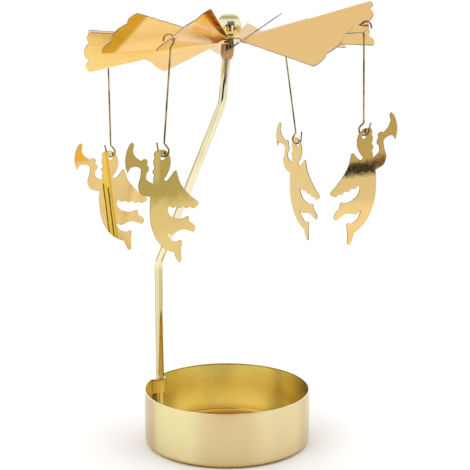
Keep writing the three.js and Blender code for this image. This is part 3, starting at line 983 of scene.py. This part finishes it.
@dataclass
class Pole:
    """The cranked pole, its collar and its needle, in millimetres."""

    azimuth: float = 156.5
    stand: float = 27.7
    foot: float = 1.25
    radius: float = 1.5
    nose: float = 0.25
    lower_bend: float = 63.4
    upper_bend: float = 123.4
    upper_offset: float = 1.7
    upper_run: float = 25.1
    upper_lean: float = 6.2
    bend_radius: float = 9.0
    bend_steps: int = 20
    end_gap: float = 0.15
    collar_top: float = -4.9
    collar_bottom: float = -9.85
    collar_radius: float = 2.3
    collar_taper: float = 0.45
    collar_taper_length: float = 1.3
    collar_chamfer: float = 0.3
    collar_fit: float = 0.1
    collar_edge: float = 0.1
    needle_radius: float = 0.4
    needle_foot: float = -8.4
    needle_point: float = 1.6
    sides: int = 40
    collar_sides: int = 72
    needle_sides: int = 32

    def at(self, offset: float, height: float) -> Vector:
        """A point in the pole's plane."""
        a = radians(self.azimuth)
        return Vector((offset * cos(a), offset * sin(a), height))

    @property
    def lean(self) -> Vector:
        """Direction of the pole's upper end and of the needle."""
        return self.at(-sin(radians(self.upper_lean)), cos(radians(self.upper_lean)))

    @property
    def tip(self) -> Vector:
        """The needle's point, on which the rotor turns."""
        return self.at(self.upper_offset, self.upper_bend) + self.lean * self.upper_run

    def path(self) -> list[Vector]:
        """The pole's middle line, with its two round bends.

        Returns:
            Points from the foot to the top.
        """
        corners = [self.at(self.stand, self.lower_bend), self.at(self.upper_offset, self.upper_bend)]
        end = self.tip + self.lean * (self.needle_foot - self.end_gap)
        stops = [self.at(self.stand, self.foot), *corners, end]
        line = [stops[0]]
        for before, corner, after in zip(stops, stops[1:], stops[2:]):
            arrive, leave = (corner - before).normalized(), (after - corner).normalized()
            setback = self.bend_radius * tan(arrive.angle(leave) / 2)
            first, second = corner - arrive * setback, corner + leave * setback
            shares = [i / self.bend_steps for i in range(self.bend_steps + 1)]
            line += [bezier(first, corner, second, share) for share in shares]
        return [*line, end]

    def stand_on_needle(self, made: bpy.types.Object) -> bpy.types.Object:
        """Places a turned piece whose zero is the needle's tip.

        Args:
            made: the piece.

        Returns:
            The same piece.
        """
        turn = UP.rotation_difference(self.lean).to_matrix().to_4x4()
        made.data.transform(Matrix.Translation(self.tip * MM) @ turn)
        return made

    def collar_profile(self) -> list[Point]:
        """The collar's section, with a tapered foot and a rounded shoulder.

        Returns:
            Points round the section.
        """
        low, top, r = self.collar_bottom, self.collar_top, self.collar_radius
        bore, needle_bore = self.radius + self.collar_fit, self.needle_radius + self.collar_fit
        shoulder = self.needle_foot + self.collar_fit
        edge, chamfer = self.collar_edge, self.collar_chamfer
        return [
            (bore, low),
            (r - self.collar_taper - edge, low),
            (r - self.collar_taper, low + edge),
            (r - edge / 2, low + self.collar_taper_length - edge),
            (r, low + self.collar_taper_length + edge),
            *arc(r - chamfer, top - chamfer, chamfer, 0, 90, ROUND_STEPS),
            (needle_bore, top),
            (needle_bore, shoulder),
            (bore, shoulder),
        ]

    def build(self) -> None:
        """Makes the pole, the collar and the needle."""
        pole = rod("pole_skin", self.path(), self.radius, self.sides, self.nose)
        dress(pole, "pole", "pole", "champagne_gold", POLE_GOLD.build())
        sleeve = lathe("collar_skin", self.collar_profile(), self.collar_sides, closed=True)
        collar = shade(self.stand_on_needle(sleeve))
        dress(collar, "needle_collar", "pole", "deep_gold", COLLAR_BRONZE.build())
        r, foot, start = self.needle_radius, self.needle_foot, -self.needle_point
        point = [(0.0, foot), (r, foot), (r, start), (r / 2, start / 2), (0.0, 0.0)]
        needle = shade(self.stand_on_needle(lathe("needle_skin", point, self.needle_sides)))
        dress(needle, "pivot_needle", "pole", "needle_steel", NEEDLE_STEEL.build())


@dataclass(frozen=True)
class Bend:
    """How one blade was bent by hand, in degrees; drop is a share of the neck's length."""

    droop: float
    twist: float
    sway: float
    drop: float = 0.0


@dataclass
class Rotor:
    """The fan with its cap and bush, in millimetres from the needle's tip."""

    tip: Vector
    turn: float = -1.0
    side_tilt: float = 3.9
    front_tilt: float = 4.3
    sheet: float = 0.3
    sheet_share: float = 0.96
    fan_below: float = 3.4
    blade_end: float = 48.3
    chord: float = 21.8
    pitch: float = 32.8
    notch_advance: float = 0.4
    low_notch: float = 0.29
    high_notch: float = 0.75
    side_lobe: float = 1.3
    middle_lobe: float = 1.8
    hub_radius: float = 5.6
    neck_start: float = 5.0
    neck_bend: float = 7.0
    neck_end: float = 9.0
    bore: float = 1.435
    hole_place: float = 46.9
    hole_radius: float = 0.95
    first_blade: float = -165.0
    seat_gap: float = 0.15
    ball_radius: float = 4.35
    ball_neck: float = 0.6
    lip_radius: float = 3.5
    lip_height: float = 0.9
    lip_neck: float = 0.35
    cap_depth: float = 0.9
    bush_wall: float = 0.7
    bush_length: float = 0.7
    bush_chamfer: float = 0.2
    sides: int = 96
    lobe_steps: int = 14
    neck_steps: int = 12
    ball_end: float = 88.0
    ball_steps: int = 40
    lip_steps: int = 8
    bends: list[Bend] = field(
        default_factory=lambda: [
            Bend(2.0, 2.4, -0.5),
            Bend(-4.5, -1.3, 0.8),
            Bend(-3.5, -1.4, 0.4),
            Bend(-3.6, -2.4, -4.1, 0.75),
            Bend(6.8, 2.7, 0.2),
            Bend(-5.8, -3.0, 0.3),
            Bend(-1.1, 0.0, 0.0),
            Bend(-1.6, 0.6, -0.3),
            Bend(-1.8, 0.6, -1.5),
            Bend(-3.4, 0.9, 3.2),
            Bend(3.8, 0.8, -0.6),
            Bend(-1.2, 0.0, 0.0),
        ]
    )

    @property
    def frame(self) -> Matrix:
        """The rotor's tilted frame at rest, in millimetres."""
        tilt = rotation(-self.front_tilt, "X") @ rotation(-self.side_tilt, "Y")
        return Matrix.Translation(self.tip) @ tilt @ rotation(self.turn, "Z")

    def on_blade(self, index: int, radial: float, across: float, lift: float) -> Vector:
        """Where a point of a blade lies.

        Args:
            index: the blade's number.
            radial: distance from the rotor's axis along the flat blade.
            across: distance along the chord.
            lift: distance above the sheet's middle.

        Returns:
            The place in the part's frame, in millimetres.
        """
        bend = self.bends[index]
        t = min(max((radial - self.hub_radius) / (self.neck_end - self.hub_radius), 0.0), 1.0)
        share = t * t * (3 - 2 * t)
        azimuth = radians(self.first_blade + 360 / len(self.bends) * index + bend.sway)
        pitch = radians((self.pitch + bend.twist) * share)
        droop = radians(bend.droop) if radial > self.neck_bend else 0.0
        drop = bend.drop * (self.neck_end - self.hub_radius) * share
        outward = Vector((cos(azimuth), sin(azimuth), 0))
        ahead = Vector((-sin(azimuth), cos(azimuth), 0))
        along = outward * cos(droop) - UP * sin(droop)
        above = outward * sin(droop) + UP * cos(droop)
        chord = ahead * cos(pitch) + above * sin(pitch)
        normal = above * cos(pitch) - ahead * sin(pitch)
        flat = outward * min(radial, self.neck_bend) + along * max(radial - self.neck_bend, 0)
        return self.frame @ (flat + chord * across + normal * lift - UP * (self.fan_below + drop))

    def blade_outline(self) -> list[Point]:
        """The blade's flat outline, from its neck out to the three lobes.

        Returns:
            The closed outline's points.
        """
        half = self.chord / 2
        slope = half / self.blade_end
        notch = self.blade_end + self.notch_advance
        low, high = half * (2 * self.low_notch - 1), half * (2 * self.high_notch - 1)
        corners = [(self.blade_end, -half), (notch, low), (notch, high), (self.blade_end, half)]
        side, middle = self.blade_end + 2 * self.side_lobe, notch + 2 * self.middle_lobe
        line = [(self.neck_start, -self.neck_start * slope)]
        for start, end, lift in zip(corners, corners[1:], (side, middle, side)):
            first, last = Vector(start), Vector(end)
            crown = Vector((lift, (first.y + last.y) / 2))
            shares = [i / self.lobe_steps for i in range(self.lobe_steps)]
            line += [tuple(bezier(first, crown, last, share)) for share in shares]
        return [*line, corners[-1], (self.neck_start, self.neck_start * slope)]

    def blade(self, index: int, hanger: Optional["Hanger"]) -> bpy.types.Object:
        """One blade with its twisted neck.

        Args:
            index: the blade's number.
            hanger: the hanger in its hook hole, if it carries one.

        Returns:
            The blade.
        """
        holes = []
        if hanger:
            holes.append(round_hole(self.hole_place, hanger.hole_share * self.chord, self.hole_radius))
        reach, steps = self.neck_end - self.neck_start, self.neck_steps
        folds = [self.neck_start + reach * i / steps for i in range(1, steps + 1)]
        blank = Blank(self.blade_outline(), holes, self.sheet * self.sheet_share, folds=folds, number=index)
        return blank.press(f"blade_{index}", lambda x, y, z: self.on_blade(index, x, y, z))

    def hub(self) -> bpy.types.Object:
        """The fan's middle, between the necks.

        Returns:
            The disc, with rounded edges.
        """
        half, edge = self.sheet / 2, SHEET_EDGE
        corners = [
            (self.bore, -half),
            (self.hub_radius - edge, -half),
            (self.hub_radius, edge - half),
            (self.hub_radius, half - edge),
            (self.hub_radius - edge, half),
            (self.bore, half),
        ]
        return self.turned("hub", [(r, z - self.fan_below) for r, z in corners], closed=True)

    def turned(self, name: str, profile: Sequence[Point], closed: bool = False) -> bpy.types.Object:
        """A turned piece on the rotor's axis.

        Args:
            name: its name.
            profile: its section, from the needle's tip.
            closed: joins the last point to the first.

        Returns:
            The piece.
        """
        made = lathe(name, profile, self.sides, closed)
        metres = self.frame.copy()
        metres.translation = self.tip * MM
        made.data.transform(metres)
        return shade(made)

    def build(self, hangers: Sequence["Hanger"]) -> None:
        """Makes the fan, the ball cap and the bush.

        Args:
            hangers: the hangers whose hooks the blades carry.
        """
        carried = {hanger.blade: hanger for hanger in hangers}
        blades = [self.blade(i, carried.get(i)) for i in range(len(self.bends))]
        fan = joined("fan_skin", [self.hub(), *blades])
        dress(fan, "fan", "rotor", "polished_gold", PLATE_GOLD.build(), FAN_EDGE.build())
        cap = self.turned("cap_skin", self.cap_profile())
        dress(cap, "ball_cap", "rotor", "champagne_gold", CAP_GOLD.build())
        top = -self.fan_below - self.sheet / 2 - self.seat_gap
        low, outer, edge = top - self.bush_length, self.bore + self.bush_wall, self.bush_chamfer
        rounding = arc(outer - edge, low + edge, edge, -90, 0, ROUND_STEPS)
        ring = [(self.bore, low), *rounding, (outer, top), (self.bore, top)]
        bush = self.turned("bush_skin", ring, closed=True)
        dress(bush, "hub_bush", "rotor", "deep_gold", BUSH_BRONZE.build())

    def cap_profile(self) -> list[Point]:
        """The ball with its narrow lip and its blind bore.

        Returns:
            Points from the bore's top, round the outside, to the ball's top.
        """
        seat = -self.fan_below + self.sheet / 2 + self.seat_gap
        neck = self.lip_radius - self.lip_neck
        angle = acos(neck / self.ball_radius)
        middle = seat + self.lip_height + self.ball_neck + self.ball_radius * sin(angle)
        ball = arc(0.0, middle, self.ball_radius, -degrees(angle), self.ball_end, self.ball_steps)
        half_turn = arc(0.0, 0.0, 1.0, -90, 90, self.lip_steps)
        lip = [(neck + self.lip_neck * x, seat + self.lip_height * (1 + y) / 2) for x, y in half_turn]
        bore = [(0.0, self.seat_gap), (self.bore, self.seat_gap - self.cap_depth), (self.bore, seat)]
        return [*bore, *lip, *ball, (0.0, middle + self.ball_radius)]


@dataclass
class Hanger:
    """One wire with its angel, in millimetres and degrees."""

    name: str
    blade: int
    hole_share: float
    length_share: float
    top_hook: float
    low_hook: float
    wire_lean: float
    wing_side: float
    lean: float
    roll: float
    hang_length: float = 37.2
    wire_radius: float = 0.3
    hook_radius: float = 1.744
    lead_share: float = 0.95
    knee_share: float = 1.4
    shank_lead: float = 0.5
    top_end: float = 0.7
    low_end: float = 2.4
    low_flare: float = 0.65
    in_hole_gap: float = 0.3
    sheet: float = 0.3
    angel_height: float = 42.8
    top_hook_end: float = 200.0
    low_hook_start: float = 150.0
    nose: float = 0.08
    sides: int = 16
    hook_steps: int = 10
    wire_steps: int = 5
    outline_steps: int = 6

    @property
    def length(self) -> float:
        """From the blade's hole to the angel's."""
        return self.hang_length * self.length_share

    @staticmethod
    def heading(angle: float) -> Vector:
        """A level direction."""
        return Vector((cos(radians(angle)), sin(radians(angle)), 0))

    def hook(self, centre: Vector, side: Vector, start: float, end: float) -> list[Vector]:
        """The round part of a hook, in the plane of a level side, from one angle in degrees to another."""
        turn = arc(0, 0, self.hook_radius, start, end, self.hook_steps)
        return [centre + side * x + UP * z for x, z in turn]

    def wire_line(self) -> list[Vector]:
        """The wire's middle line in its own frame, whose zero is the blade's hole.

        Returns:
            Points from the free end of the upper hook to that of the lower one.
        """
        top_side, low_side = self.heading(self.top_hook), self.heading(self.low_hook)
        lead = self.hook_radius * self.lead_share
        rise = sqrt(self.hook_radius**2 - lead**2)
        knee = self.hook_radius * self.knee_share
        low = UP * (self.hook_radius - self.length)
        upper = self.hook(top_side * lead - UP * rise, top_side, 0, self.top_hook_end)
        lower = self.hook(low, low_side, self.low_hook_start, 360)
        knee_top = top_side * (lead * self.shank_lead) - UP * (rise + knee)
        tail_low = lower[-1] + low_side * self.low_flare + UP * self.low_end
        head = smooth_line([upper[0] - UP * self.top_end, *upper, knee_top], self.wire_steps)
        return head + smooth_line([low + UP * knee, *lower, tail_low], self.wire_steps)

    def angel_outline(self) -> list[Point]:
        """The angel's outline from the hole in the head, x to the wing side.

        Returns:
            The closed outline's points.
        """
        line: list[Point] = []
        current = Vector((*ANGEL_RUNS[0][0], 0))
        for i, run in enumerate(ANGEL_RUNS):
            points = [Vector((x, y, 0)) for x, y in run[1 if i == 0 else 0 :]]
            curve = smooth_line([current, *points], self.outline_steps)
            line += [(p.x, p.y) for p in curve[:-1]]
            current = points[-1]
        line.append((current.x, current.y))
        scale = self.angel_height / 1000
        return [(x * scale, y * scale) for x, y in line]

    def build(self, rotor: Rotor, wire_finish: bpy.types.Material, edge_finish: bpy.types.Material) -> None:
        """Makes the wire and the angel.

        Args:
            rotor: the rotor that carries them.
            wire_finish: the wire's material.
            edge_finish: the material of the angel's cut edges.
        """
        hole = rotor.on_blade(self.blade, rotor.hole_place, self.hole_share * rotor.chord, 0.0)
        swing = rotation(-self.wire_lean, "Y")
        line = [hole + swing @ p for p in self.wire_line()]
        wire = rod(f"wire_{self.name}_skin", line, self.wire_radius, self.sides, self.nose)
        dress(wire, f"hanger_wire_{self.name}", f"wire_{self.name}", "wire_gold", wire_finish)
        contact = hole + swing @ (UP * -self.length)
        turn = rotation(self.wing_side, "Z") @ (rotation(self.lean, "X") @ rotation(self.roll, "Y"))
        drop = self.wire_radius + self.in_hole_gap - rotor.hole_radius

        def hung(x: float, y: float, z: float) -> Vector:
            """Where a point of the angel's blank hangs."""
            return contact + turn @ Vector((x, -z, y + drop))

        blank = Blank(self.angel_outline(), [round_hole(0, 0, rotor.hole_radius)], self.sheet)
        angel = blank.press(f"angel_{self.name}_skin", hung)
        finish = ANGEL_GOLDS[self.name].build()
        dress(angel, f"angel_{self.name}", f"figure_{self.name}", "polished_gold", finish, edge_finish)


# Each with its blade, its hole's share of the chord, its share of the length, the sides of its two hooks, its
# wire's lean, and the side, lean and roll of its angel
HANGERS = (
    Hanger("left", 11, -0.25, 0.985, 143, 161, -0.6, 28, 8, -1),
    Hanger("front", 2, -0.2, 0.995, 165, 173, -6, 38, 8, -2),
    Hanger("right", 5, -0.25, 0.98, -20, -18, 2.6, 212, -4, 7),
    Hanger("rear", 8, -0.25, 1.025, -15, 17, 9.4, -55, 4, 7),
)

# Thousandths of the angel's height; each run is a smooth line through its points, and the runs join up
ANGEL_RUNS: list[list[Point]] = [
    [(-33, 61), (-66, 52), (-80, 29), (-73, 1)],
    [(-83, -20), (-80, -48)],
    [(-71, -62), (-73, -81)],
    [(-86, -100), (-80, -117)],
    [(-70, -130), (-77, -155), (-76, -193)],
    [(-120, -168), (-141, -147), (-139, -104)],
    [(-121, -83), (-123, -58), (-139, -40)],
    [(-133, -18), (-145, 2), (-165, 7), (-190, -4)],
    [(-241, 36), (-262, 80), (-256, 128), (-273, 145)],
    [(-298, 118), (-322, 44), (-322, -20), (-303, -82)],
    [(-281, -48), (-260, -41), (-208, -51), (-185, -72)],
    [(-191, -133), (-207, -200), (-180, -262), (-125, -284), (-97, -292)],
    [(-99, -395), (-81, -520), (-40, -622), (25, -706), (86, -748), (136, -771)],
    [(171, -845), (188, -861), (208, -845)],
    [(201, -757), (205, -684), (188, -674)],
    [(159, -685), (99, -660), (61, -600)],
    [(106, -620), (165, -600), (220, -596), (272, -617)],
    [(308, -627), (324, -598), (302, -563), (268, -538), (258, -495)],
    [(235, -494), (215, -503)],
    [(180, -505), (147, -499)],
    [(90, -468), (62, -410), (75, -386)],
    [(110, -408), (143, -398)],
    [(175, -418), (206, -408)],
    [(235, -430), (266, -420)],
    [(295, -438), (327, -424), (345, -405), (333, -384)],
    [(272, -338), (199, -265), (156, -200), (137, -145), (124, -117), (108, -117)],
    [(92, -138), (65, -170), (35, -186), (17, -172)],
    [(50, -125), (70, -60), (62, 0), (32, 42), (0, 60)],
]


@dataclass(frozen=True)
class Flag:
    """A dark upright flag in the bright surroundings, which only the metal sees; angles in degrees."""

    azimuth: float
    half_width: float
    soft: float
    low: float
    high: float
    strength: float

    def cover(self, azimuth: Value, elevation: Value) -> Value:
        """How dark the flag makes a direction.

        Args:
            azimuth: the direction's azimuth.
            elevation: its elevation.

        Returns:
            0 outside the flag, up to its strength inside it.
        """
        away = (azimuth - self.azimuth).math("ABSOLUTE")
        across = 1 - away.step(self.half_width, self.half_width + self.soft)
        upward = elevation.step(self.low - self.soft, self.low)
        downward = 1 - elevation.step(self.high, self.high + self.soft)
        return self.strength * across * upward * downward


@dataclass(frozen=True)
class Lamp:
    """A soft square lamp: its place and width in metres, and its power in watts."""

    name: str
    place: Triple
    size: float
    power: float


@dataclass
class Studio:
    """The camera, the pale floor and the soft light."""

    eye: Triple = (0.01279, -0.44041, 0.16518)
    pitch: float = 11.41
    yaw: float = -1.29
    lens: float = 96.8
    sensor: float = 36.0
    near: float = 0.01
    floor_reach: float = 0.5
    floor_drop: float = 0.0002
    paper: Triple = (0.93, 0.93, 0.93)
    paper_roughness: float = 0.9
    aim: Triple = (0.0, 0.0, 0.08)
    lamps: tuple[Lamp, ...] = (
        Lamp("key", (-0.9, -0.9, 1.3), 0.9, 4.0),
        Lamp("fill", (1.1, -0.5, 0.9), 0.8, 2.5),
        Lamp("top", (0.0, 0.3, 1.5), 1.2, 5.0),
    )
    flags: tuple[Flag, ...] = (
        Flag(-98, 21, 4, -13, 10, 0.97),
        Flag(-70, 32, 8, 6, 38, 0.8),
        Flag(165, 13, 3, -3, 5, 0.6),
    )

    @staticmethod
    def stand(name: str, data: bpy.types.ID, place: Triple, ahead: Vector) -> bpy.types.Object:
        """Stands a camera or a lamp in the scene.

        Args:
            name: its name.
            data: what the object holds.
            place: its place in metres.
            ahead: the direction that it looks in.

        Returns:
            The new object.
        """
        made = link(name, data)
        made.location = place
        made.rotation_mode = "QUATERNION"
        made.rotation_quaternion = ahead.to_track_quat("-Z", "Y")
        return made

    def camera(self) -> None:
        """Sets the camera at the photograph's angle."""
        data = bpy.data.cameras.new("camera")
        data.lens, data.sensor_width, data.clip_start = self.lens, self.sensor, self.near
        level, turn = cos(radians(self.pitch)), radians(self.yaw)
        ahead = Vector((sin(turn) * level, cos(turn) * level, -sin(radians(self.pitch))))
        bpy.context.scene.camera = self.stand("camera", data, self.eye, ahead)

    def floor(self) -> None:
        """A plain pale floor."""
        reach = self.floor_reach
        corners = [Vector((x * reach, y * reach, 0)) for x, y in ((-1, -1), (1, -1), (1, 1), (-1, 1))]
        made = mesh_of("floor", corners, [[0, 1, 2, 3]], 1.0)
        made.location.z = -self.floor_drop
        material = bpy.data.materials.new("floor_paper")
        material.use_nodes = True
        tree = Tree(material.node_tree)
        plain = {"Base_Color": self.paper, "Roughness": self.paper_roughness, "Specular_IOR_Level": 0.0}
        tree.node("ShaderNodeOutputMaterial", Surface=tree.value("ShaderNodeBsdfPrincipled", **plain))
        made.data.materials.append(material)

    def world(self) -> None:
        """White surroundings; the metal also sees the dark flags in them."""
        world = bpy.data.worlds.new("studio")
        bpy.context.scene.world = world
        world.use_nodes = True
        tree = Tree(world.node_tree)
        x, y, z = tree.split(tree.value("ShaderNodeTexCoord", out="Generated"))
        azimuth = y.math("ARCTAN2", x) * (180 / pi)
        elevation = z.math("ARCSINE") * (180 / pi)
        light = 1 - self.flags[0].cover(azimuth, elevation)
        for flag in self.flags[1:]:
            light = light * (1 - flag.cover(azimuth, elevation))
        seen = tree.value("ShaderNodeLightPath", out="Is Camera Ray")
        light = seen.math("MAXIMUM", light)
        back = tree.value("ShaderNodeBackground", Color=(1.0, 1.0, 1.0), Strength=light)
        tree.node("ShaderNodeOutputWorld", Surface=back)

    def build(self) -> None:
        """Sets up the whole studio; no lamp shows in the metal."""
        bpy.context.scene.view_settings.view_transform = "Standard"
        self.camera()
        self.floor()
        self.world()
        for lamp in self.lamps:
            data = bpy.data.lights.new(lamp.name, "AREA")
            data.size, data.energy = lamp.size, lamp.power
            made = self.stand(lamp.name, data, lamp.place, Vector(self.aim) - Vector(lamp.place))
            made.visible_glossy = False


def main() -> None:
    """Builds the carousel on its frame."""
    logging.basicConfig(level=logging.INFO, format="%(name)s: %(message)s")
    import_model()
    Studio().build()
    pole = Pole()
    Cup(pole).build()
    pole.build()
    rotor = Rotor(pole.tip)
    rotor.build(HANGERS)
    wire_finish, edge_finish = WIRE_GOLD.build(), ANGEL_EDGE.build()
    for hanger in HANGERS:
        hanger.build(rotor, wire_finish, edge_finish)


if __name__ == "__main__":
    main()
